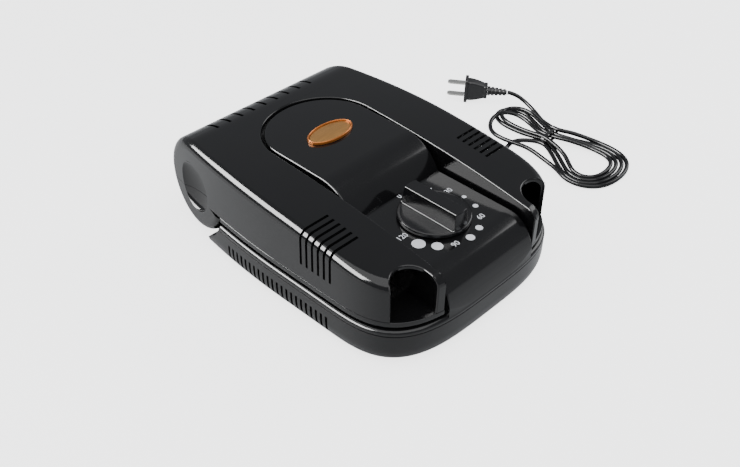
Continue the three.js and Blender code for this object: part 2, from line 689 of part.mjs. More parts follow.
part(dryer, "cord_strain_relief", sleeve(23.4, 4.2, 3.3, 1.5, 4).rotateY(Math.PI / 2).translate(97.3, CORD_EXIT.y, CORD_EXIT.z), rubber);
part(dryer, "cord_lead", tube(LEAD_ROUTE, CORD_RADIUS, 8, 20), rubber);
part(dryer, "cord_hank", hank(), rubber);
part(dryer, "cord_tie", tie(), rubber);
part(dryer, "cord_tail", tube(TAIL_ROUTE, CORD_RADIUS, 8, 14), rubber);
part(dryer, "plug_strain_relief", plugTurned(sleeve(19, 4.6, 3.2, 0, 5).rotateX(Math.PI / 2).translate(0, -22.3, 0)), rubber);
part(dryer, "plug_body", plugBody(), rubber);
part(dryer, "plug_blade_upper", plugBlade(BLADE_PITCH / 2), steel);
part(dryer, "plug_blade_lower", plugBlade(-BLADE_PITCH / 2), steel);

export default dryer;
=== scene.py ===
import math

import bmesh
import bpy
from mathutils import Matrix, Vector


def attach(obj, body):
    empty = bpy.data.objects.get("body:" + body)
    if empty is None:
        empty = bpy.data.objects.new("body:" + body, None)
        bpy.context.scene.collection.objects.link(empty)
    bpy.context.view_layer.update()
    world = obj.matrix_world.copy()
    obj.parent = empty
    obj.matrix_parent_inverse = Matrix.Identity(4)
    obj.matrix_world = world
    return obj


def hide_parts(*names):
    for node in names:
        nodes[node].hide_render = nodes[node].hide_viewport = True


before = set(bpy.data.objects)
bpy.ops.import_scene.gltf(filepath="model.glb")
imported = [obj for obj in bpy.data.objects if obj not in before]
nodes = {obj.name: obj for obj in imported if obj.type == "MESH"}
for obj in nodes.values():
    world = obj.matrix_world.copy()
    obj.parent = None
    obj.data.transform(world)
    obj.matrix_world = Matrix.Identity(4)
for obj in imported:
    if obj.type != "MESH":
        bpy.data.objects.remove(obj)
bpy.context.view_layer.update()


# ---------------------------------------------------------------- Camera, floor and lights
# The dryer stands on a plain white studio floor, seen from the front left at desk height.
# Two large soft panels and a soft box overhead light it, as a product table is lit.

camera_data = bpy.data.cameras.new("studio_camera")
camera_data.lens = 48.18
camera_data.sensor_width = 36.0
camera = bpy.data.objects.new("studio_camera", camera_data)
bpy.context.scene.collection.objects.link(camera)
bpy.context.scene.camera = camera

camera_target = Vector((-0.0455, -0.0537, 0.0597))
camera_turn = math.radians(-47.02)
camera_rise = math.radians(38.56)
camera_roll = math.radians(1.48)
camera_away = 0.7157
towards_camera = Vector((
    math.cos(camera_rise) * math.sin(camera_turn),
    -math.cos(camera_rise) * math.cos(camera_turn),
    math.sin(camera_rise),
))
camera.location = camera_target + towards_camera * camera_away
level_view = towards_camera.to_track_quat("Z", "Y").to_matrix().to_4x4()
rolled_view = level_view @ Matrix.Rotation(camera_roll, 4, "Z")
camera.matrix_world = Matrix.Translation(camera.location) @ rolled_view


def new_piece(name, bm, material=None):
    """A finished bmesh becomes an object at the origin."""
    mesh = bpy.data.meshes.new(name)
    bm.to_mesh(mesh)
    bm.free()
    piece = bpy.data.objects.new(name, mesh)
    bpy.context.scene.collection.objects.link(piece)
    if material:
        mesh.materials.append(material)
    return piece


floor_material = bpy.data.materials.new("studio_floor")
floor_material.use_nodes = True
floor_shader = floor_material.node_tree.nodes["Principled BSDF"]
floor_shader.inputs["Base Color"].default_value = (0.66, 0.67, 0.68, 1.0)
floor_shader.inputs["Roughness"].default_value = 0.7
floor_shader.inputs["Emission Color"].default_value = (1.0, 1.0, 1.0, 1.0)
floor_seen = floor_material.node_tree.nodes.new("ShaderNodeLightPath")
floor_white = floor_material.node_tree.nodes.new("ShaderNodeMath")
floor_white.operation = "MULTIPLY"
floor_white.inputs[1].default_value = 2.6
floor_material.node_tree.links.new(floor_seen.outputs["Is Camera Ray"], floor_white.inputs[0])
floor_material.node_tree.links.new(floor_white.outputs[0], floor_shader.inputs["Emission Strength"])
floor_mesh = bmesh.new()
bmesh.ops.create_grid(floor_mesh, x_segments=2, y_segments=2, size=6.0)
bmesh.ops.translate(floor_mesh, verts=floor_mesh.verts, vec=(0, 0, -0.0002))
floor = new_piece("studio_floor", floor_mesh, floor_material)


def soft_panel(name, place, aim, width, height, power):
    """A rectangular soft light at one place, facing another."""
    data = bpy.data.lights.new(name, "AREA")
    data.shape = "RECTANGLE"
    data.size = width
    data.size_y = height
    data.energy = power
    panel = bpy.data.objects.new(name, data)
    bpy.context.scene.collection.objects.link(panel)
    panel.location = place
    panel.rotation_euler = (Vector(aim) - Vector(place)).to_track_quat("-Z", "Y").to_euler()
    return panel


soft_panel("overhead_box", (-0.3, -0.5, 1.9), (0.0, 0.0, 0.0), 2.4, 2.4, 38.0)
left_panel = soft_panel("left_panel", (-1.08, 0.68, 1.06), (0.0, 0.0, 0.05), 2.0, 0.95, 230.0)
left_panel.visible_diffuse = False
soft_panel("right_panel", (1.5, -0.3, 0.9), (0.0, 0.0, 0.05), 0.8, 1.0, 10.0)

world = bpy.data.worlds.new("studio")
bpy.context.scene.world = world
world.use_nodes = True
world.node_tree.nodes["Background"].inputs["Color"].default_value = (0.92, 0.95, 1.0, 1.0)
world.node_tree.nodes["Background"].inputs["Strength"].default_value = 0.42


# ---------------------------------------------------------------- Mains cord
# A round two-core PVC lead, 4 mm thick and about 1.4 m long. It leaves the gland at the rear right,
# runs over the floor into a hank of four turns under a wire tie, and comes out to the plug.


def moulding_grain():
    """The faint unevenness of moulded plastic: cloudy colour, a varied gloss and a fine ripple."""
    group = bpy.data.node_groups.new("moulding_grain", "ShaderNodeTree")
    group.interface.new_socket("Colour", in_out="INPUT", socket_type="NodeSocketColor")
    for label in ("Variation", "Gloss low", "Gloss high", "Scale", "Ripple"):
        group.interface.new_socket(label, in_out="INPUT", socket_type="NodeSocketFloat")
    group.interface.new_socket("Colour", in_out="OUTPUT", socket_type="NodeSocketColor")
    group.interface.new_socket("Roughness", in_out="OUTPUT", socket_type="NodeSocketFloat")
    group.interface.new_socket("Normal", in_out="OUTPUT", socket_type="NodeSocketVector")
    inside = group.nodes
    link = group.links.new
    given = inside.new("NodeGroupInput")
    result = inside.new("NodeGroupOutput")
    place = inside.new("ShaderNodeTexCoord")
    cloud = inside.new("ShaderNodeTexNoise")
    cloud.inputs["Detail"].default_value = 4.0
    link(place.outputs["Object"], cloud.inputs["Vector"])
    link(given.outputs["Scale"], cloud.inputs["Scale"])
    tint = inside.new("ShaderNodeHueSaturation")
    shade = inside.new("ShaderNodeMapRange")
    link(cloud.outputs["Fac"], shade.inputs["Value"])
    less = inside.new("ShaderNodeMath")
    less.operation = "SUBTRACT"
    less.inputs[0].default_value = 1.0
    link(given.outputs["Variation"], less.inputs[1])
    more = inside.new("ShaderNodeMath")
    more.operation = "ADD"
    more.inputs[0].default_value = 1.0
    link(given.outputs["Variation"], more.inputs[1])
    link(less.outputs[0], shade.inputs["To Min"])
    link(more.outputs[0], shade.inputs["To Max"])
    link(shade.outputs["Result"], tint.inputs["Value"])
    link(given.outputs["Colour"], tint.inputs["Color"])
    link(tint.outputs["Color"], result.inputs["Colour"])
    gloss = inside.new("ShaderNodeMapRange")
    link(cloud.outputs["Fac"], gloss.inputs["Value"])
    link(given.outputs["Gloss low"], gloss.inputs["To Min"])
    link(given.outputs["Gloss high"], gloss.inputs["To Max"])
    link(gloss.outputs["Result"], result.inputs["Roughness"])
    fine = inside.new("ShaderNodeTexNoise")
    fine.inputs["Detail"].default_value = 2.0
    finer = inside.new("ShaderNodeMath")
    finer.operation = "MULTIPLY"
    finer.inputs[1].default_value = 9.0
    link(given.outputs["Scale"], finer.inputs[0])
    link(finer.outputs[0], fine.inputs["Scale"])
    link(place.outputs["Object"], fine.inputs["Vector"])
    bump = inside.new("ShaderNodeBump")
    bump.inputs["Distance"].default_value = 0.0002
    link(given.outputs["Ripple"], bump.inputs["Strength"])
    link(fine.outputs["Fac"], bump.inputs["Height"])
    link(bump.outputs["Normal"], result.inputs["Normal"])
    return group


grain = moulding_grain()


def finish(name, colour, gloss, variation=0.15, scale=60.0, ripple=0.05, metallic=0.0, shine=0.5):
    """A material whose colour, gloss and surface come through the moulding grain."""
    material = bpy.data.materials.new(name)
    material.use_nodes = True
    tree = material.node_tree
    shader = tree.nodes["Principled BSDF"]
    shader.inputs["Metallic"].default_value = metallic
    shader.inputs["Specular IOR Level"].default_value = shine
    surface = tree.nodes.new("ShaderNodeGroup")
    surface.node_tree = grain
    surface.inputs["Colour"].default_value = (*colour, 1.0)
    surface.inputs["Variation"].default_value = variation
    surface.inputs["Gloss low"].default_value = gloss[0]
    surface.inputs["Gloss high"].default_value = gloss[1]
    surface.inputs["Scale"].default_value = scale
    surface.inputs["Ripple"].default_value = ripple
    tree.links.new(surface.outputs["Colour"], shader.inputs["Base Color"])
    tree.links.new(surface.outputs["Roughness"], shader.inputs["Roughness"])
    tree.links.new(surface.outputs["Normal"], shader.inputs["Normal"])
    return material


cord_pvc = finish("cord_pvc", (0.006, 0.006, 0.007), (0.16, 0.24), scale=120.0, ripple=0.02, shine=0.35)
cord_thick = 0.004

lead_route = [
    (121.0, 58.0, 13.0), (125.0, 57.9, 12.6), (136.0, 55.5, 6.0), (147.0, 48.0, 2.3), (155.0, 37.0, 2.2),
    (159.0, 24.0, 2.2), (163.0, 11.0, 2.2), (170.5, -1.0, 2.2), (180.5, -6.6, 2.2), (190.67, -4.1, 2.2),
    (198.0, -2.4, 2.2), (206.5, -5.2, 2.2), (213.8, -13.4, 2.2),
]
front_lobe = [
    (209.0, -41.0), (197.0, -57.0), (189.6, -72.0), (191.2, -86.0), (200.5, -96.0), (214.5, -100.0),
    (230.0, -99.2), (243.8, -93.4), (251.2, -81.0), (251.2, -63.0), (244.0, -42.0),
]
rear_lobe = [
    (236.2, -12.0), (240.8, 0.0), (245.6, 11.0), (248.6, 21.5), (245.6, 33.0), (235.0, 39.4), (224.0, 35.6),
    (218.6, 25.0), (217.6, 12.0), (218.4, -2.0), (220.6, -13.0),
]
wide_turn = [
    (230.5, -9.0), (235.5, 3.0), (238.0, 14.0), (235.0, 25.0), (226.0, 32.0), (214.0, 32.5), (203.0, 27.0),
    (196.0, 17.5), (193.6, 5.0), (195.6, -9.0), (199.5, -24.0),
]
tail_route = [
    (240.6, -12.0, 7.6), (245.2, -4.0, 5.2), (250.6, 3.6, 3.2), (256.0, 11.0, 2.2), (260.0, 20.0, 2.8),
    (260.8, 28.0, 5.6), (258.9, 35.0, 9.8), (255.7, 40.7, 12.4), (252.5, 45.3, 12.7),
]
front_middle = Vector((221.0, -70.0, 0.0))
waist_y = -24.0
left_slots = [218.6, 222.8, 220.7, None]
right_slots = [236.0, 233.4, 229.6, 237.4]
front_lanes = [0.0, 4.8, 9.4, -4.6]
rear_shifts = [0.0, -5.4]

route = [Vector(point) for point in lead_route]
for turn in range(4):
    if left_slots[turn] is not None:
        route.append(Vector((left_slots[turn], waist_y, 2.0)))
    stations = front_lobe[1:] if turn == 3 else front_lobe
    for x, y in stations:
        station = Vector((x, y, 0.0))
        inward = (front_middle - station).normalized()
        route.append(station + inward * front_lanes[turn] + Vector((0.0, 0.0, 2.0)))
    route.append(Vector((right_slots[turn], waist_y, 8.2 if turn == 3 else 2.0)))
    if turn < 2:
        route += [Vector((x, y + rear_shifts[turn], 2.0)) for x, y in rear_lobe]
    if turn == 2:
        route += [Vector((x, y, 2.0)) for x, y in wide_turn]
route += [Vector(point) for point in tail_route]


def smooth_path(points, step):
    """Points close together along a Catmull-Rom curve through the given ones."""
    path = []
    for at in range(len(points) - 1):
        before = points[max(at - 1, 0)]
        start = points[at]
        end = points[at + 1]
        after = points[min(at + 2, len(points) - 1)]
        count = max(2, round((end - start).length / step))
        for part in range(count):
            t = part / count
            path.append(0.5 * (
                2 * start + (end - before) * t
                + (2 * before - 5 * start + 4 * end - after) * t ** 2
                + (3 * start - before - 3 * end + after) * t ** 3
            ))
    path.append(points[-1].copy())
    return path


cord_path = smooth_path(route, 2.5)
for relaxing in range(8):
    eased = [(a + 2 * b + c) / 4 for a, b, c in zip(cord_path, cord_path[1:], cord_path[2:])]
    cord_path[2:-2] = eased[1:-1]

# Each stretch lies on what was laid before it, and rises and falls in long low humps.
clear = cord_thick * 1000.0 * 1.02
neighbours = 6
lead_points = 60
tail_points = 30
needed = [point.z for point in cord_path]
for at, point in enumerate(cord_path):
    for other in range(0, at - neighbours):
        below = cord_path[other]
        apart = math.hypot(point.x - below.x, point.y - below.y)
        if apart < clear:
            needed[at] = max(needed[at], needed[other] + math.sqrt(clear ** 2 - apart ** 2))
reach = 6
last = len(cord_path) - 1
lifted = [max(needed[max(0, at - reach):at + reach + 1]) for at in range(last + 1)]
for settling in range(2):
    around = [lifted[max(0, at - reach):at + reach + 1] for at in range(last + 1)]
    lifted = [sum(near) / len(near) for near in around]
for at, point in enumerate(cord_path):
    if lead_points < at < last - tail_points:
        point.z = lifted[at]
    point *= 0.001

cord_curve = bpy.data.curves.new("mains_cord", "CURVE")
cord_curve.dimensions = "3D"
cord_curve.bevel_depth = cord_thick / 2
cord_curve.bevel_resolution = 3
cord_curve.use_fill_caps = True
cord_line = cord_curve.splines.new("POLY")
cord_line.points.add(last)
for knot, point in zip(cord_line.points, cord_path):
    knot.co = (*point, 1.0)
cord_line.use_smooth = True
cord_curve.materials.append(cord_pvc)
mains_cord = bpy.data.objects.new("mains_cord", cord_curve)
bpy.context.scene.collection.objects.link(mains_cord)
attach(mains_cord, "base")
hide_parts("cord_lead", "cord_hank", "cord_tail")


# ---------------------------------------------------------------- Base bottom shell
# The lower half of the base, injection moulded in gloss black ABS. Its foot curves in to the floor,
# and each side wall has a row of 22 narrow slots where the blower draws its air.

wide_half = 0.100
long_half = 0.135
soft_corner = 0.075
soft_power = 3.4
hinge_y = 0.0965
hinge_z = 0.0465
wall = 0.0026


def narrowing(y):
    """How far each side has drawn in at y, because the dryer narrows to the rear."""
    return max(0.0, y + 0.010) ** 2 / 1.33


def front_edge(x):
    """The y of the outline's front at x."""
    reach_forward = (1 - (abs(x) / wide_half) ** soft_power) ** (1 / soft_power)
    return soft_corner - long_half - soft_corner * reach_forward


def outline_point(share, inset, rear):
    """A point of the plan outline: share 0 is the middle of the front, 1 the middle of the rear."""
    if share <= 0.55:
        turn = share / 0.55 * math.pi / 2
        x = (wide_half - inset) * math.sin(turn) ** (2 / soft_power)
        y = soft_corner - long_half - (soft_corner - inset) * max(0.0, math.cos(turn)) ** (2 / soft_power)
        return x, y
    side_start = soft_corner - long_half
    if share <= 0.95:
        return wide_half - inset, side_start + (rear - side_start) * (share - 0.55) / 0.4
    return (wide_half - inset) * (1 - (share - 0.95) / 0.05), rear


def soft_stack(levels, rear, narrow=True, segments=240):
    """A closed form whose rings follow the outline; each level is an inset and a height."""
    bm = bmesh.new()
    shares = bm.verts.layers.float.new("share")
    sides = bm.verts.layers.float.new("side")
    ring = bmesh.ops.create_circle(bm, segments=segments, radius=1.0, cap_ends=False)["verts"]
    for vert in ring:
        turn = math.atan2(abs(vert.co.x), -vert.co.y)
        vert[shares] = round(turn / math.pi * segments / 2) / (segments / 2)
        vert[sides] = math.copysign(1.0, vert.co.x)
    edges = bm.edges[:]
    for level, (inset, height) in enumerate(levels):
        if level:
            grown = bmesh.ops.extrude_edge_only(bm, edges=edges)["geom"]
            edges = [item for item in grown if isinstance(item, bmesh.types.BMEdge)]
            ring = [item for item in grown if isinstance(item, bmesh.types.BMVert)]
        for vert in ring:
            x, y = outline_point(vert[shares], inset, rear)
            x = max(0.0, x - narrowing(y)) if narrow and x > 0.01 else x
            vert.co = (x * vert[sides], y, height)
        if level in (0, len(levels) - 1):
            bmesh.ops.contextual_create(bm, geom=edges)
    bmesh.ops.recalc_face_normals(bm, faces=bm.faces)
    return bm


def block(x0, x1, y0, y1, z0, z1):
    """A box between two corners."""
    bm = bmesh.new()
    bmesh.ops.create_cube(bm, size=1.0)
    bmesh.ops.scale(bm, verts=bm.verts, vec=(x1 - x0, y1 - y0, z1 - z0))
    bmesh.ops.translate(bm, verts=bm.verts, vec=((x0 + x1) / 2, (y0 + y1) / 2, (z0 + z1) / 2))
    return bm


def rod(radius, axis, low, high, a, b, segments=64):
    """A round bar along X or Z, between low and high, through the other two coordinates."""
    bm = bmesh.new()
    bmesh.ops.create_cone(
        bm, cap_ends=True, segments=segments, radius1=radius, radius2=radius, depth=high - low
    )
    middle = (low + high) / 2
    if axis == "X":
        bmesh.ops.rotate(bm, verts=bm.verts, matrix=Matrix.Rotation(math.pi / 2, 3, "Y"))
        bmesh.ops.translate(bm, verts=bm.verts, vec=(middle, a, b))
    else:
        bmesh.ops.translate(bm, verts=bm.verts, vec=(a, b, middle))
    return bm


def mirrored(bm):
    """The same form on both sides of the middle plane."""
    bmesh.ops.mirror(bm, geom=bm.verts[:] + bm.edges[:] + bm.faces[:], axis="X", merge_dist=-1.0)
    bmesh.ops.recalc_face_normals(bm, faces=bm.faces)
    return bm


def together(*forms):
    """Several separate forms as one bmesh."""
    joined = bmesh.new()
    for form in forms:
        scratch = bpy.data.meshes.new("scratch")
        form.to_mesh(scratch)
        form.free()
        joined.from_mesh(scratch)
        bpy.data.meshes.remove(scratch)
    return joined


def carve(bm, *steps):
    """Cuts or joins other forms, each step an operation and a form, and returns the new form."""
    for form in (bm, *[step[1] for step in steps]):
        bmesh.ops.triangulate(form, faces=form.faces[:])
    body = new_piece("body", bm)
    tools = []
    for operation, form in steps:
        tool = new_piece("tool", form)
        tools.append(tool)
        change = body.modifiers.new("carve", "BOOLEAN")
        change.operation = operation
        change.solver = "EXACT"
        change.object = tool
    bpy.context.view_layer.update()
    result = bmesh.new()
    evaluated = body.evaluated_get(bpy.context.evaluated_depsgraph_get())
    result.from_mesh(evaluated.to_mesh())
    evaluated.to_mesh_clear()
    for item in (body, *tools):
        bpy.data.objects.remove(item)
    bmesh.ops.remove_doubles(result, verts=result.verts, dist=0.0000005)
    bmesh.ops.dissolve_degenerate(result, edges=result.edges, dist=0.0000005)
    bmesh.ops.dissolve_limit(
        result, angle_limit=math.radians(0.05), use_dissolve_boundaries=False,
        verts=result.verts[:], edges=result.edges[:], delimit=set(),
    )
    return result


def soften(bm, radius, wanted, segments=3):
    """Rounds the sharp edges that the test wants."""
    edges = [
        edge for edge in bm.edges
        if len(edge.link_faces) == 2 and edge.calc_face_angle(0.0) > math.radians(38) and wanted(edge)
    ]
    bmesh.ops.bevel(
        bm, geom=edges, offset=radius, offset_type="OFFSET", affect="EDGES", segments=segments,
        profile=0.5, material=-1, clamp_overlap=False, loop_slide=True,
    )


def shell_piece(name, bm, material, body, slot, *replaced):
    """A moulded piece: smooth over its round stretches and crisp at its edges."""
    for face in bm.faces:
        face.smooth = True
    for edge in bm.edges:
        edge.smooth = not (len(edge.link_faces) == 2 and edge.calc_face_angle(0.0) > math.radians(32))
    piece = new_piece(name, bm, material)
    weighted = piece.modifiers.new("weighted", "WEIGHTED_NORMAL")
    weighted.keep_sharp = True
    weighted.weight = 70
    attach(piece, body)
    if replaced:
        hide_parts(*replaced)
    return piece


gloss_black = finish(
    "gloss_black_abs", (0.006, 0.006, 0.0065), (0.1, 0.15),
    variation=0.12, scale=40.0, ripple=0.003, shine=0.4,
)

bottom_levels = [
    (0.0080, 0.0020), (0.0060, 0.0023), (0.0042, 0.0031), (0.0026, 0.0046), (0.0014, 0.0066),
    (0.0006, 0.0092), (0.0002, 0.0120), (0.0, 0.0150), (0.0, 0.0263), (0.0002, 0.0267),
    (0.0006, 0.02685),
]
base_rear = 0.0770
base_room_rear = base_rear - wall
bottom_form = soft_stack(bottom_levels, base_rear)
bottom_room_levels = [(0.0080, 0.0046), (0.0034, 0.0090), (wall, 0.0120), (wall, 0.0400)]
bottom_hollow = soft_stack(bottom_room_levels, base_room_rear)
intake_first = 0.046
intake_pitch = 0.00523
intake_half = 0.0011
intake = together(*[
    block(0.0900, 0.1100, y - intake_half, y + intake_half, 0.0065, 0.0200)
    for y in [intake_first - intake_pitch * slot for slot in range(22)]
])
gland_y = 0.058
gland_z = 0.013
gland = rod(0.0043, "X", 0.080, 0.110, gland_y, gland_z)


def hinge_room():
    """What the base leaves free for the hinge: a pocket for each cheek and the drum's cradle."""
    return [
        ("DIFFERENCE", mirrored(rod(0.0415, "X", 0.048, 0.120, hinge_y, hinge_z, 96))),
        ("DIFFERENCE", rod(0.0338, "X", -0.0482, 0.0482, hinge_y, hinge_z, 96)),
    ]


bottom_form = carve(
    bottom_form,
    ("DIFFERENCE", bottom_hollow),
    *hinge_room(),
    ("DIFFERENCE", mirrored(intake)),
    ("DIFFERENCE", gland),
    ("DIFFERENCE", block(-0.0303, 0.0303, 0.064, 0.080, 0.0087, 0.040)),
)
shell_piece("base_lower_case", bottom_form, gloss_black, "base", "black_gloss", "base_bottom_shell")


# ---------------------------------------------------------------- Base top shell
# The deck that the arms lie on and the console are one gloss moulding. The console's tongue ends in
# an arch under the frame's crossbar, drops to the level dial panel and rolls down to the front edge.

panel_top = 0.0625
console_top = 0.0846
console_half = 0.0475
arch_y = 0.043
dial_y = -0.0752


def bezier(a, b, c, d, t):
    """One coordinate of a cubic curve."""
    return a * (1 - t) ** 3 + 3 * b * t * (1 - t) ** 2 + 3 * c * t ** 2 * (1 - t) + d * t ** 3


deck_height = 0.0316
front_roll = ((-0.1346, deck_height), (-0.131, 0.052), (-0.124, panel_top), (-0.106, panel_top))
rear_rise = ((-0.039, panel_top), (-0.032, 0.075), (-0.020, console_top), (-0.004, console_top))


def console_height(y):
    """The console's top at y."""
    for curve, before, after in ((front_roll, deck_height, panel_top), (rear_rise, panel_top, console_top)):
        if y <= curve[0][0]:
            return before
        if y < curve[3][0]:
            low = 0.0
            high = 1.0
            for _ in range(30):
                t = (low + high) / 2
                if bezier(*[point[0] for point in curve], t) < y:
                    low = t
                else:
                    high = t
            return bezier(*[point[1] for point in curve], t)
        if curve is front_roll and y <= rear_rise[0][0]:
            return panel_top
    return console_top


def raised(bm, way):
    """Extrudes a flat form along a vector into a closed one."""
    risen = bmesh.ops.extrude_face_region(bm, geom=bm.faces[:])["geom"]
    moved = [item for item in risen if isinstance(item, bmesh.types.BMVert)]
    bmesh.ops.translate(bm, verts=moved, vec=way)
    bmesh.ops.recalc_face_normals(bm, faces=bm.faces)
    return bm


def cross_cut(bm, place, direction, **options):
    """Cuts every face along a plane."""
    whole = bm.verts[:] + bm.edges[:] + bm.faces[:]
    return bmesh.ops.bisect_plane(bm, geom=whole, plane_co=place, plane_no=direction, **options)


def console_form(inset, foot, edge_radius):
    """The console as a closed form: an arched plan raised to the height of its side view."""
    bm = bmesh.new()
    bmesh.ops.create_circle(bm, segments=160, radius=1.0, cap_ends=True)
    for vert in bm.verts:
        x = vert.co.x * (console_half - inset)
        if vert.co.y < -1e-5:
            vert.co = (x, front_edge(x) + 0.0004 + inset, foot)
        else:
            vert.co = (x, arch_y + vert.co.y * (0.0425 - inset), foot)
    raised(bm, (0, 0, console_top - inset - foot))
    rim = [edge for edge in bm.edges if all(v.co.z > console_top - inset - 0.0001 for v in edge.verts)]
    if edge_radius:
        bmesh.ops.bevel(
            bm, geom=rim, offset=edge_radius, offset_type="OFFSET", affect="EDGES", segments=4,
            profile=0.5, material=-1, clamp_overlap=False,
        )
    stations = [bezier(*[point[0] for point in front_roll], t / 16) for t in range(17)]
    stations += [bezier(*[point[0] for point in rear_rise], t / 16) for t in range(17)]
    stations += [0.02, arch_y]
    for y in stations:
        cross_cut(bm, (0, y + 0.00001, 0), (0, 1, 0))
    for vert in bm.verts:
        if vert.co.z > foot + 0.001:
            vert.co.z = max(vert.co.z - console_top + console_height(vert.co.y), foot + 0.0005)
    return bm


deck_levels = [
    (0.0006, 0.02715), (0.0002, 0.0273), (0.0, 0.0277), (0.0, 0.0291), (0.0001, 0.0297), (0.0004, 0.0303),
    (0.0009, 0.0309), (0.0016, 0.0313), (0.0024, 0.03155), (0.0032, deck_height),
]
top_form = carve(
    soft_stack(deck_levels, base_rear),
    ("UNION", console_form(0.0, 0.0274, 0.0014)),
    ("DIFFERENCE", console_form(wall, 0.0200, 0.0)),
    ("DIFFERENCE", soft_stack([(wall, 0.0200), (wall, 0.0290)], base_room_rear)),
    *hinge_room(),
    ("DIFFERENCE", rod(0.006, "Z", 0.050, 0.070, 0.0, dial_y)),
)
shell_piece("base_upper_case", top_form, gloss_black, "base", "black_gloss", "base_top_shell")


# ---------------------------------------------------------------- Frame upper shell
# The U-shaped frame that lifts: two hollow arms joined by a crossbar that wraps the hinge barrel.
# Each arm ends in a mouth that blows into a shoe, and has six slots; nine vents cross the rear.

frame_inset = 0.0023
frame_top = 0.0850
tip_drop = 0.0184
fillet = 0.0070
barrel = 0.0385
seam = 0.0383
frame_foot = 0.0333
gap_half = 0.050
arch_rise = 0.045
mouth_radius = 0.0155


def arm_height(y):
    """The frame's top at y: level over the barrel, then falling ever faster to the tips."""
    return frame_top - tip_drop * (max(0.0, hinge_y - y) / (hinge_y + long_half)) ** 2.5


def wrap_barrel(bm):
    """Bends what stands behind the hinge round its axis, and draws the sides in to the rear."""
    for vert in bm.verts:
        x, y, z = vert.co
        if y > hinge_y + 0.00001:
            turn = (y - hinge_y) / barrel
            out = max(0.0, z - hinge_z)
            y = hinge_y + out * math.sin(turn)
            z = hinge_z + out * math.cos(turn)
        elif z > seam + 0.01:
            z -= frame_top - arm_height(y)
        if abs(x) > 0.02:
            x = math.copysign(abs(x) - narrowing(y), x)
        vert.co = (x, y, z)
    bmesh.ops.remove_doubles(bm, verts=bm.verts, dist=0.000001)
    bmesh.ops.dissolve_degenerate(bm, edges=bm.edges, dist=0.000001)


def slices(bm, start, end, pitch):
    """Cuts the faces across at even steps from front to rear, so that they can follow a curve."""
    count = round((end - start) / pitch)
    for step in range(count + 1):
        y = start + (end - start) * step / count
        cross_cut(bm, (0, y, 0), (0, 1, 0))


def frame_stack(inset, foot):
    """The whole frame's outer form, or what is inset from it, with a round top edge."""
    levels = [(frame_inset + inset, foot), (frame_inset + inset, frame_top - inset - fillet - 0.0008)]
    for step in range(9):
        turn = step / 8 * math.pi / 2
        pull = fillet * (1 - math.cos(turn))
        levels.append((frame_inset + inset + pull, frame_top - inset - fillet * (1 - math.sin(turn))))
    levels.append((frame_inset + inset + fillet + 0.001, frame_top - inset))
    return levels


def keep(bm, place, direction):
    """Keeps what lies on the side of a plane that the direction points to, and closes the cut."""
    cut = cross_cut(bm, place, direction, clear_inner=True)["geom_cut"]
    rims = [item for item in cut if isinstance(item, bmesh.types.BMEdge)]
    bmesh.ops.holes_fill(bm, edges=rims, sides=0)
    bmesh.ops.recalc_face_normals(bm, faces=bm.faces)
    return bm


def arch_plug():
    """The space between the arms: straight sides that end in an arch."""
    bm = bmesh.new()
    bmesh.ops.create_circle(bm, segments=160, radius=1.0, cap_ends=True)
    for vert in bm.verts:
        y = arch_y + vert.co.y * arch_rise if vert.co.y > -1e-5 else -0.2
        vert.co = (vert.co.x * gap_half, y, 0.0)
    return raised(bm, (0, 0, 0.2))


def mouth_plug(foot):
    """The space of one mouth: a half-round pocket open to the front."""
    bm = bmesh.new()
    bmesh.ops.create_circle(bm, segments=64, radius=mouth_radius, cap_ends=True)
    for vert in bm.verts:
        if vert.co.y < -1e-5:
            vert.co.y -= 0.060
    raised(bm, (0, 0, 0.080))
    bmesh.ops.translate(bm, verts=bm.verts, vec=(0.0725, -0.119, foot))
    return mirrored(bm)


def arm_hollow(foot, top_inset):
    """The air space in each arm, from the tip to the hinge cheek."""
    bm = soft_stack(frame_stack(top_inset, foot), hinge_y, narrow=False, segments=160)
    slices(bm, -0.13, 0.06, 0.012)
    wrap_barrel(bm)
    keep(bm, (0, 0.062, 0), (0, -1, 0))
    keep(bm, (0.0526, 0, 0), (1, 0, 0))
    return mirrored(bm)


def crossbar_room():
    """What the crossbar leaves free: the drum's round space and the open underside."""
    under = block(-gap_half + 0.0002, gap_half - 0.0002, -0.2, hinge_y, -0.05, 0.0818)
    lip = bmesh.new()
    bmesh.ops.create_grid(lip, x_segments=1, y_segments=1, size=1.0)
    low = hinge_z - 0.060
    corners = [(hinge_y, hinge_z), (hinge_y + 0.054, low), (-0.2, hinge_z), (-0.2, low)]
    for vert, (y, z) in zip(lip.verts, corners):
        vert.co = (-gap_half + 0.0001, y, z)
    raised(lip, (2 * gap_half - 0.0002, 0, 0))
    return [
        ("DIFFERENCE", rod(0.0353, "X", -gap_half, gap_half, hinge_y, hinge_z, 96)),
        ("DIFFERENCE", under),
        ("DIFFERENCE", lip),
        ("DIFFERENCE", rod(0.0203, "X", -0.060, 0.060, hinge_y, hinge_z, 64)),
    ]


def dishes():
    """The scooped recess in each end of the barrel."""
    bm = bmesh.new()
    bmesh.ops.create_uvsphere(bm, u_segments=48, v_segments=32, radius=1.0)
    bmesh.ops.scale(bm, verts=bm.verts, vec=(0.0068, 0.0220, 0.0220))
    bmesh.ops.translate(bm, verts=bm.verts, vec=(0.0897, hinge_y, hinge_z))
    return mirrored(bm)


arms_form = soft_stack(frame_stack(0.0, frame_foot), hinge_y + 0.010, narrow=False)
slices(arms_form, -0.132, hinge_y - 0.006, 0.006)
keep(arms_form, (0, hinge_y, 0), (0, -1, 0))
wrap_barrel(arms_form)
keep(arms_form, (0, 0, seam + 0.00015), (0, 0, 1))


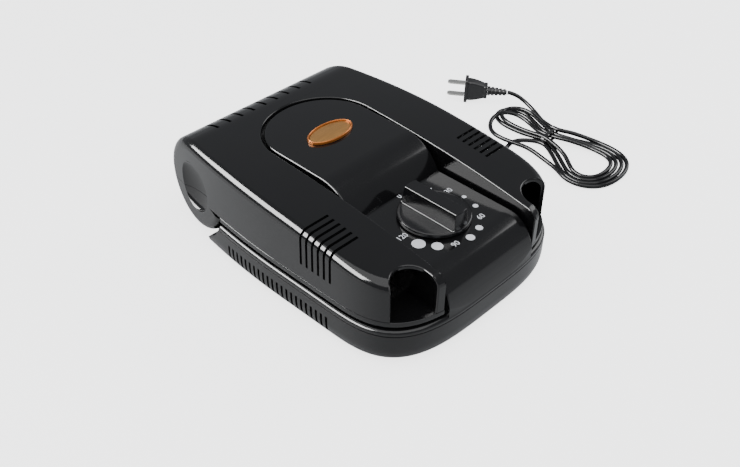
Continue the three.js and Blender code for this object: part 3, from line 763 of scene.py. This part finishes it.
def barrel_half(start, sweep):
    """The part of the barrel that the frame wraps, from the top of the hinge round to the sweep."""
    bm = soft_stack(frame_stack(0.0, hinge_z), hinge_y + sweep, narrow=False)
    keep(bm, (0, hinge_y + start, 0), (0, 1, 0))
    slices(bm, hinge_y + start + 0.0034, hinge_y + sweep - 0.0034, 0.0034)
    wrap_barrel(bm)
    return bm


rear_form = keep(barrel_half(0.0, barrel * math.pi), (0, 0, seam + 0.00015), (0, 0, 1))
upper_form = carve(
    arms_form,
    ("UNION", rear_form),
    ("DIFFERENCE", arch_plug()),
    ("DIFFERENCE", mouth_plug(0.030)),
)
soften(
    upper_form, 0.0012,
    lambda edge: max(v.co.z for v in edge.verts) > 0.050 and edge.verts[0].co.y < 0.1,
)
slot_first = -0.0364
slot_pitch = 0.00584
slot_half = 0.0011
arm_slots = together(*[
    block(0.0706, 0.1100, y - slot_half, y + slot_half, 0.0513, 0.1000)
    for y in [slot_first - slot_pitch * slot for slot in range(6)]
])
vent_first = -0.057
vent_pitch = 0.0124
vent_half = 0.0012
rear_vents = together(*[
    block(x - vent_half, x + vent_half, 0.1005, 0.1400, 0.0680, 0.0900)
    for x in [vent_first + vent_pitch * vent for vent in range(9)]
])
upper_form = carve(
    upper_form,
    ("DIFFERENCE", arm_hollow(0.0300, wall)),
    *crossbar_room(),
    ("DIFFERENCE", mirrored(arm_slots)),
    ("DIFFERENCE", rear_vents),
    ("DIFFERENCE", dishes()),
)
shell_piece("frame_upper_case", upper_form, gloss_black, "frame", "black_gloss", "frame_upper_shell")


# ---------------------------------------------------------------- Frame lower shell
# The underside of the arms and the lower half of the hinge barrel, screwed up into the upper shell.
# Its outer edge is the fine seam that runs round the frame just above the deck.

lower_top = seam - 0.00015
barrel_form = barrel_half(barrel * math.radians(94), barrel * math.radians(250))
keep(barrel_form, (0, 0, lower_top), (0, 0, -1))
band_levels = [
    (frame_inset + 0.0010, frame_foot),
    (frame_inset + 0.0003, frame_foot + 0.0003),
    (frame_inset, frame_foot + 0.0010),
    (frame_inset, seam - 0.0008),
    (frame_inset + 0.0001, seam - 0.0004),
    (frame_inset + 0.0005, lower_top),
]
lower_form = carve(
    soft_stack(band_levels, 0.0592),
    ("UNION", barrel_form),
    ("DIFFERENCE", arch_plug()),
    ("DIFFERENCE", arm_hollow(0.0359, wall)),
    *crossbar_room(),
    ("DIFFERENCE", dishes()),
)
shell_piece("frame_lower_case", lower_form, gloss_black, "frame", "black_gloss", "frame_lower_shell")


# ---------------------------------------------------------------- Timer knob and dial print
# A satin black knob with a raised lip and a tall tapered grip, pressed on the timer's shaft. The
# scale printed round it in white runs from 0 to 120 minutes, in numbers and in growing dots.

satin_black = finish(
    "knob_satin_abs", (0.009, 0.009, 0.010), (0.15, 0.21),
    variation=0.1, scale=90.0, ripple=0.004, shine=0.3,
)


def turned(profile, segments=96):
    """A round form spun about Z from (radius, height) pairs that begin and end on the axis."""
    bm = bmesh.new()
    verts = [bm.verts.new((radius, 0.0, height)) for radius, height in profile]
    edges = [bm.edges.new(pair) for pair in zip(verts, verts[1:])]
    bmesh.ops.spin(
        bm, geom=verts + edges, angle=2 * math.pi, steps=segments, axis=(0, 0, 1), cent=(0, 0, 0),
        use_merge=True,
    )
    bmesh.ops.remove_doubles(bm, verts=bm.verts, dist=0.000001)
    bmesh.ops.recalc_face_normals(bm, faces=bm.faces)
    return bm


def round_off(bm, edges, radius, segments):
    """Rounds the given edges."""
    bmesh.ops.bevel(
        bm, geom=edges, offset=radius, offset_type="OFFSET", affect="EDGES", segments=segments,
        profile=0.5, material=-1, clamp_overlap=True,
    )


knob_disc = turned([
    (0.0, 0.0632), (0.0262, 0.0632), (0.0272, 0.0634), (0.0277, 0.0639), (0.0278, 0.0648),
    (0.0278, 0.0660), (0.0276, 0.0666), (0.0271, 0.0669), (0.0265, 0.0668), (0.0260, 0.0664),
    (0.0254, 0.0662), (0.0, 0.0664),
])
bmesh.ops.translate(knob_disc, verts=knob_disc.verts, vec=(0, dial_y, 0))
grip = block(-0.0082, 0.0082, -0.028, 0.028, 0.0655, 0.0802)
for vert in grip.verts:
    if vert.co.z > 0.07:
        vert.co.x *= 0.74
bmesh.ops.translate(grip, verts=grip.verts, vec=(0, dial_y, 0))
grip_ends = turned([(0.0, 0.060), (0.0271, 0.060), (0.0269, 0.068), (0.0244, 0.090), (0.0, 0.090)])
bmesh.ops.translate(grip_ends, verts=grip_ends.verts, vec=(0, dial_y, 0))
grip = carve(grip, ("INTERSECT", grip_ends))
bmesh.ops.dissolve_limit(grip, angle_limit=math.radians(0.5), verts=grip.verts[:], edges=grip.edges[:])
round_off(grip, [edge for edge in grip.edges if all(v.co.z > 0.0795 for v in edge.verts)], 0.0010, 5)
shaft_hole = rod(0.0033, "Z", 0.050, 0.0745, 0.0, dial_y, 48)
knob_form = carve(knob_disc, ("UNION", grip), ("DIFFERENCE", shaft_hole))


def at_grip_foot(edge):
    """Whether an edge is where a long side of the grip meets the disc."""
    return all(vert.co.z < 0.0672 and 0.0075 < abs(vert.co.x) < 0.0086 for vert in edge.verts)


soften(knob_form, 0.0009, at_grip_foot, 4)
soften(knob_form, 0.0004, lambda edge: min(v.co.z for v in edge.verts) > 0.0675, 2)
shell_piece("dial_knob", knob_form, satin_black, "knob", "black_satin", "timer_knob")

dial_ink = finish("dial_white_ink", (0.86, 0.88, 0.92), (0.4, 0.5), variation=0.04, scale=150.0)
mark_ring = 0.0346
print_height = panel_top + 0.00006
marks = [(0.0, "0"), (67.5, "30"), (135.0, "60"), (202.5, "90"), (270.0, "120")]
dots = [
    (45.0, 0.0008), (90.0, 0.0018), (112.5, 0.0022), (157.5, 0.0029), (180.0, 0.0034),
    (225.0, 0.0043), (247.5, 0.0051),
]


def on_dial(form, bearing):
    """Moves a flat mark out to the ring, at a bearing clockwise from the rear."""
    turn = math.radians(bearing)
    place = (mark_ring * math.sin(turn), dial_y + mark_ring * math.cos(turn), print_height)
    bmesh.ops.translate(form, verts=form.verts, vec=place)
    return form


ink_forms = []
for bearing, radius in dots:
    dot = bmesh.new()
    bmesh.ops.create_circle(dot, segments=48, radius=radius, cap_ends=True)
    ink_forms.append(on_dial(dot, bearing))
for bearing, label in marks:
    lettering = bpy.data.curves.new("dial_number", "FONT")
    lettering.body = label
    lettering.size = 0.0066
    lettering.offset = 0.00005
    lettering.align_x = "CENTER"
    lettering.align_y = "CENTER"
    writing = bpy.data.objects.new("dial_number", lettering)
    bpy.context.scene.collection.objects.link(writing)
    bpy.context.view_layer.update()
    number = bmesh.new()
    flat = writing.evaluated_get(bpy.context.evaluated_depsgraph_get())
    number.from_mesh(flat.to_mesh())
    flat.to_mesh_clear()
    bpy.data.objects.remove(writing)
    ink_forms.append(on_dial(number, bearing))
dial_print = new_piece("dial_print", together(*ink_forms), dial_ink)
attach(dial_print, "base")


# ---------------------------------------------------------------- Badge
# A blank oval plate of brushed gold-coloured metal in a bronze rim, stuck on the console's tongue.

badge_y = 0.034
badge_foot = console_top + 0.0003


def oval_rings(levels, closed_top=True):
    """An oval form; each level is two half widths and a height."""
    bm = bmesh.new()
    turns = bm.verts.layers.float.new("turn")
    ring = bmesh.ops.create_circle(bm, segments=128, radius=1.0, cap_ends=False)["verts"]
    for vert in ring:
        vert[turns] = math.atan2(vert.co.y, vert.co.x)
    edges = bm.edges[:]
    for level, (half_x, half_y, height) in enumerate(levels):
        if level:
            grown = bmesh.ops.extrude_edge_only(bm, edges=edges)["geom"]
            edges = [item for item in grown if isinstance(item, bmesh.types.BMEdge)]
            ring = [item for item in grown if isinstance(item, bmesh.types.BMVert)]
        for vert in ring:
            vert.co = (half_x * math.cos(vert[turns]), badge_y + half_y * math.sin(vert[turns]), height)
        if closed_top and level in (0, len(levels) - 1):
            bmesh.ops.contextual_create(bm, geom=edges)
    bmesh.ops.remove_doubles(bm, verts=bm.verts, dist=0.000001)
    bmesh.ops.recalc_face_normals(bm, faces=bm.faces)
    return bm


badge_bronze = finish(
    "badge_bronze", (0.42, 0.13, 0.022), (0.22, 0.34), variation=0.25, scale=70.0, metallic=0.55
)
rim_profile = [
    (0.0220, 0.0), (0.0220, 0.0014), (0.0217, 0.0020), (0.0212, 0.0023), (0.0207, 0.0020),
    (0.0204, 0.0014), (0.0204, 0.0), (0.0220, 0.0),
]
rim_levels = [(half, half - 0.0105, badge_foot + height) for half, height in rim_profile]
shell_piece("badge_frame", oval_rings(rim_levels, False), badge_bronze, "base", "badge_bronze", "badge_rim")

badge_gold = finish("badge_gold", (0.40, 0.20, 0.055), (0.30, 0.45), variation=0.2, metallic=0.45)
brushed = badge_gold.node_tree
streak_place = brushed.nodes.new("ShaderNodeTexCoord")
streak_run = brushed.nodes.new("ShaderNodeMapping")
streak_run.inputs["Scale"].default_value = (60.0, 900.0, 60.0)
streaks = brushed.nodes.new("ShaderNodeTexNoise")
streaks.inputs["Scale"].default_value = 1.0
streaks.inputs["Detail"].default_value = 3.0
streak_tone = brushed.nodes.new("ShaderNodeMapRange")
streak_tone.inputs["To Min"].default_value = 0.26
streak_tone.inputs["To Max"].default_value = 0.48
streak_mix = brushed.nodes.new("ShaderNodeMixRGB")
streak_mix.blend_type = "MULTIPLY"
streak_mix.inputs["Fac"].default_value = 0.35
brushed.links.new(streak_place.outputs["Object"], streak_run.inputs["Vector"])
brushed.links.new(streak_run.outputs["Vector"], streaks.inputs["Vector"])
brushed.links.new(streaks.outputs["Fac"], streak_tone.inputs["Value"])
brushed.links.new(streak_tone.outputs["Result"], brushed.nodes["Principled BSDF"].inputs["Roughness"])
gold_surface = next(node for node in brushed.nodes if node.type == "GROUP")
brushed.links.new(gold_surface.outputs["Colour"], streak_mix.inputs["Color1"])
brushed.links.new(streaks.outputs["Fac"], streak_mix.inputs["Color2"])
brushed.links.new(streak_mix.outputs["Color"], brushed.nodes["Principled BSDF"].inputs["Base Color"])
plate_x = 0.0201
plate_y = 0.0096
plate_edge = badge_foot + 0.0010
plate_levels = [(plate_x, plate_y, badge_foot), (plate_x, plate_y, plate_edge)]
for step in range(1, 9):
    shrink = 1 - (step / 8) ** 1.5 * 0.98
    plate_levels.append((plate_x * shrink, plate_y * shrink, plate_edge + 0.0009 * (1 - shrink ** 2)))
shell_piece("badge_face", oval_rings(plate_levels), badge_gold, "base", "badge_gold", "badge_plate")


# ---------------------------------------------------------------- Plug, strain reliefs and tie
# The two-pin plug, its ribbed relief and the gland's relief are moulded in one black PVC with the
# cord; the plug has a face plate, a waisted grip and nickel blades. A wire tie holds the hank.

plug_pvc = finish(
    "plug_pvc", (0.011, 0.011, 0.012), (0.28, 0.38), variation=0.12, scale=110.0, ripple=0.12
)
plug_turn = Matrix.Rotation(math.radians(35), 4, "Z")
plug_place = Matrix.Translation((0.2285, 0.0795, 0.0127)) @ plug_turn


def lengthwise(bm):
    """The edges that run along the plug."""
    return [edge for edge in bm.edges if abs(edge.verts[0].co.y - edge.verts[1].co.y) > 0.001]


face_plate = block(-0.0070, 0.0070, -0.0030, 0.0, -0.0124, 0.0124)
round_off(face_plate, lengthwise(face_plate), 0.0026, 5)
crosswise = set(face_plate.edges) - set(lengthwise(face_plate))
round_off(face_plate, [edge for edge in face_plate.edges if edge in crosswise], 0.0006, 3)
grip_front = -0.0028
grip_step = 0.00192
plug_grip = block(-0.0056, 0.0056, -0.0220, grip_front, -0.0105, 0.0105)
round_off(plug_grip, lengthwise(plug_grip), 0.0026, 5)
for step in range(1, 10):
    cross_cut(plug_grip, (0, grip_front - grip_step * step, 0), (0, 1, 0))
for vert in plug_grip.verts:
    back = min(1.0, max(0.0, (-vert.co.y - 0.0050) / 0.0170))
    vert.co.z *= 1 - 0.46 * back ** 1.6
    vert.co.x *= 1 - 0.20 * back
collar = block(-0.0052, 0.0052, -0.0222, -0.0185, -0.0066, 0.0066)
round_off(collar, collar.edges[:], 0.0012, 3)
plug_form = carve(face_plate, ("UNION", plug_grip), ("UNION", collar))
bmesh.ops.transform(plug_form, matrix=plug_place, verts=plug_form.verts)
plug_piece = shell_piece("plug_grip", plug_form, plug_pvc, "base", "rubber_black", "plug_body")


def ribbed_sleeve(length, root, tip, ribs, flange):
    """A tapered sleeve along Z with raised ribs, as (radius, height) pairs for turning."""
    profile = [(0.0, 0.0)]
    if flange:
        rim = root + 0.0020
        profile += [(rim - 0.0002, 0.0), (rim, 0.0002), (rim, 0.0012), (rim - 0.0002, 0.0015)]
    start = 0.0015 if flange else 0.0
    pitch = (length - start) / ribs
    for rib in range(ribs):
        low = start + rib * pitch
        radius = root + (tip - root) * rib / (ribs - 1)
        profile += [
            (radius - 0.0002, low), (radius, low + 0.08 * pitch), (radius, low + 0.58 * pitch),
            (radius - 0.0002, low + 0.66 * pitch), (radius - 0.0010, low + 0.70 * pitch),
            (radius - 0.0010, low + 0.97 * pitch),
        ]
    return profile + [(0.0, length)]


plug_sleeve = turned(ribbed_sleeve(0.0190, 0.0046, 0.0032, 5, False), 48)
bmesh.ops.rotate(plug_sleeve, verts=plug_sleeve.verts, matrix=Matrix.Rotation(math.pi / 2, 3, "X"))
bmesh.ops.translate(plug_sleeve, verts=plug_sleeve.verts, vec=(0, -0.0223, 0))
bmesh.ops.transform(plug_sleeve, matrix=plug_place, verts=plug_sleeve.verts)
plug_relief = shell_piece(
    "plug_sleeve", plug_sleeve, plug_pvc, "base", "rubber_black", "plug_strain_relief"
)

gland_sleeve = turned(ribbed_sleeve(0.0234, 0.0042, 0.0033, 6, True), 48)
bmesh.ops.rotate(gland_sleeve, verts=gland_sleeve.verts, matrix=Matrix.Rotation(math.pi / 2, 3, "Y"))
bmesh.ops.translate(gland_sleeve, verts=gland_sleeve.verts, vec=(0.0973, gland_y, gland_z))
gland_relief = shell_piece(
    "gland_sleeve", gland_sleeve, plug_pvc, "base", "rubber_black", "cord_strain_relief"
)

tie_y = waist_y * 0.001 - 0.0014
tie_form = bmesh.new()
bmesh.ops.create_circle(tie_form, segments=64, radius=1.0, cap_ends=False)
for vert in tie_form.verts:
    around = math.atan2(vert.co.y, vert.co.x)
    across = math.copysign(abs(math.cos(around)) ** 0.7, math.cos(around))
    upward = math.copysign(abs(math.sin(around)) ** 0.7, math.sin(around))
    vert.co = (0.2279 + 0.0116 * across, tie_y + 0.0008 * upward, 0.0049 + 0.0046 * upward)
grown = bmesh.ops.extrude_edge_only(tie_form, edges=tie_form.edges[:])["geom"]
moved = [item for item in grown if isinstance(item, bmesh.types.BMVert)]
bmesh.ops.translate(tie_form, verts=moved, vec=(0, 0.0028, 0))
bmesh.ops.recalc_face_normals(tie_form, faces=tie_form.faces)
bmesh.ops.solidify(tie_form, geom=tie_form.faces[:], thickness=0.0005)
tie_piece = shell_piece("hank_tie", tie_form, plug_pvc, "base", "rubber_black", "cord_tie")

blade_nickel = finish(
    "blade_nickel", (0.62, 0.61, 0.58), (0.18, 0.32), variation=0.08, scale=160.0, metallic=1.0
)


def dress(material, *names):
    """Gives CAD nodes their finish."""
    for name in names:
        nodes[name].data.materials.clear()
        nodes[name].data.materials.append(material)


dress(blade_nickel, "plug_blade_upper", "plug_blade_lower")


# ---------------------------------------------------------------- Feet, screws and hinge
# Four round rubber feet, zinc-plated pan-head screws that hold both pairs of shells, and the
# hinge: a satin drum fixed in the base, hollow trunnions that pass the air, and friction washers.

foot_rubber = finish(
    "foot_rubber", (0.018, 0.018, 0.018), (0.7, 0.85), variation=0.2, scale=200.0, ripple=0.4
)
dress(foot_rubber, *[name for name in nodes if name.startswith(("foot_", "hinge_washer"))])
screw_zinc = finish(
    "screw_zinc", (0.45, 0.46, 0.47), (0.25, 0.4), variation=0.12, scale=220.0, metallic=1.0
)
dress(screw_zinc, *[name for name in nodes if "_screw_" in name])
hinge_black = finish(
    "hinge_satin_abs", (0.016, 0.016, 0.017), (0.35, 0.5), scale=80.0, ripple=0.1
)
dress(hinge_black, "hinge_drum", "trunnion_left", "trunnion_right")


# ---------------------------------------------------------------- Blower, heater and timer
# Inside the base: a grey ABS volute and impeller driven by a shaded-pole motor, a nichrome heater
# on mica boards in the duct to the hinge, a thermal cut-out, the terminal block and the timer.

inner_abs = finish(
    "inner_grey_abs", (0.10, 0.105, 0.11), (0.5, 0.65), variation=0.12, scale=70.0, ripple=0.2
)
dress(inner_abs, "blower_housing", "blower_impeller", "air_duct", "timer_mechanism")
motor_steel = finish(
    "motor_steel", (0.36, 0.37, 0.38), (0.3, 0.45), variation=0.15, scale=90.0, metallic=1.0
)
dress(motor_steel, "motor", "motor_shaft", "timer_shaft", "thermal_cutout")
heater_mica = finish(
    "heater_mica", (0.62, 0.56, 0.44), (0.6, 0.8), variation=0.25, scale=120.0, ripple=0.3
)
dress(heater_mica, "heater_frame", "terminal_block")
nichrome = finish(
    "heater_nichrome", (0.28, 0.26, 0.24), (0.35, 0.5), variation=0.2, scale=150.0, metallic=1.0
)
dress(nichrome, "heater_element")
dress(plug_pvc, "cord_clamp")
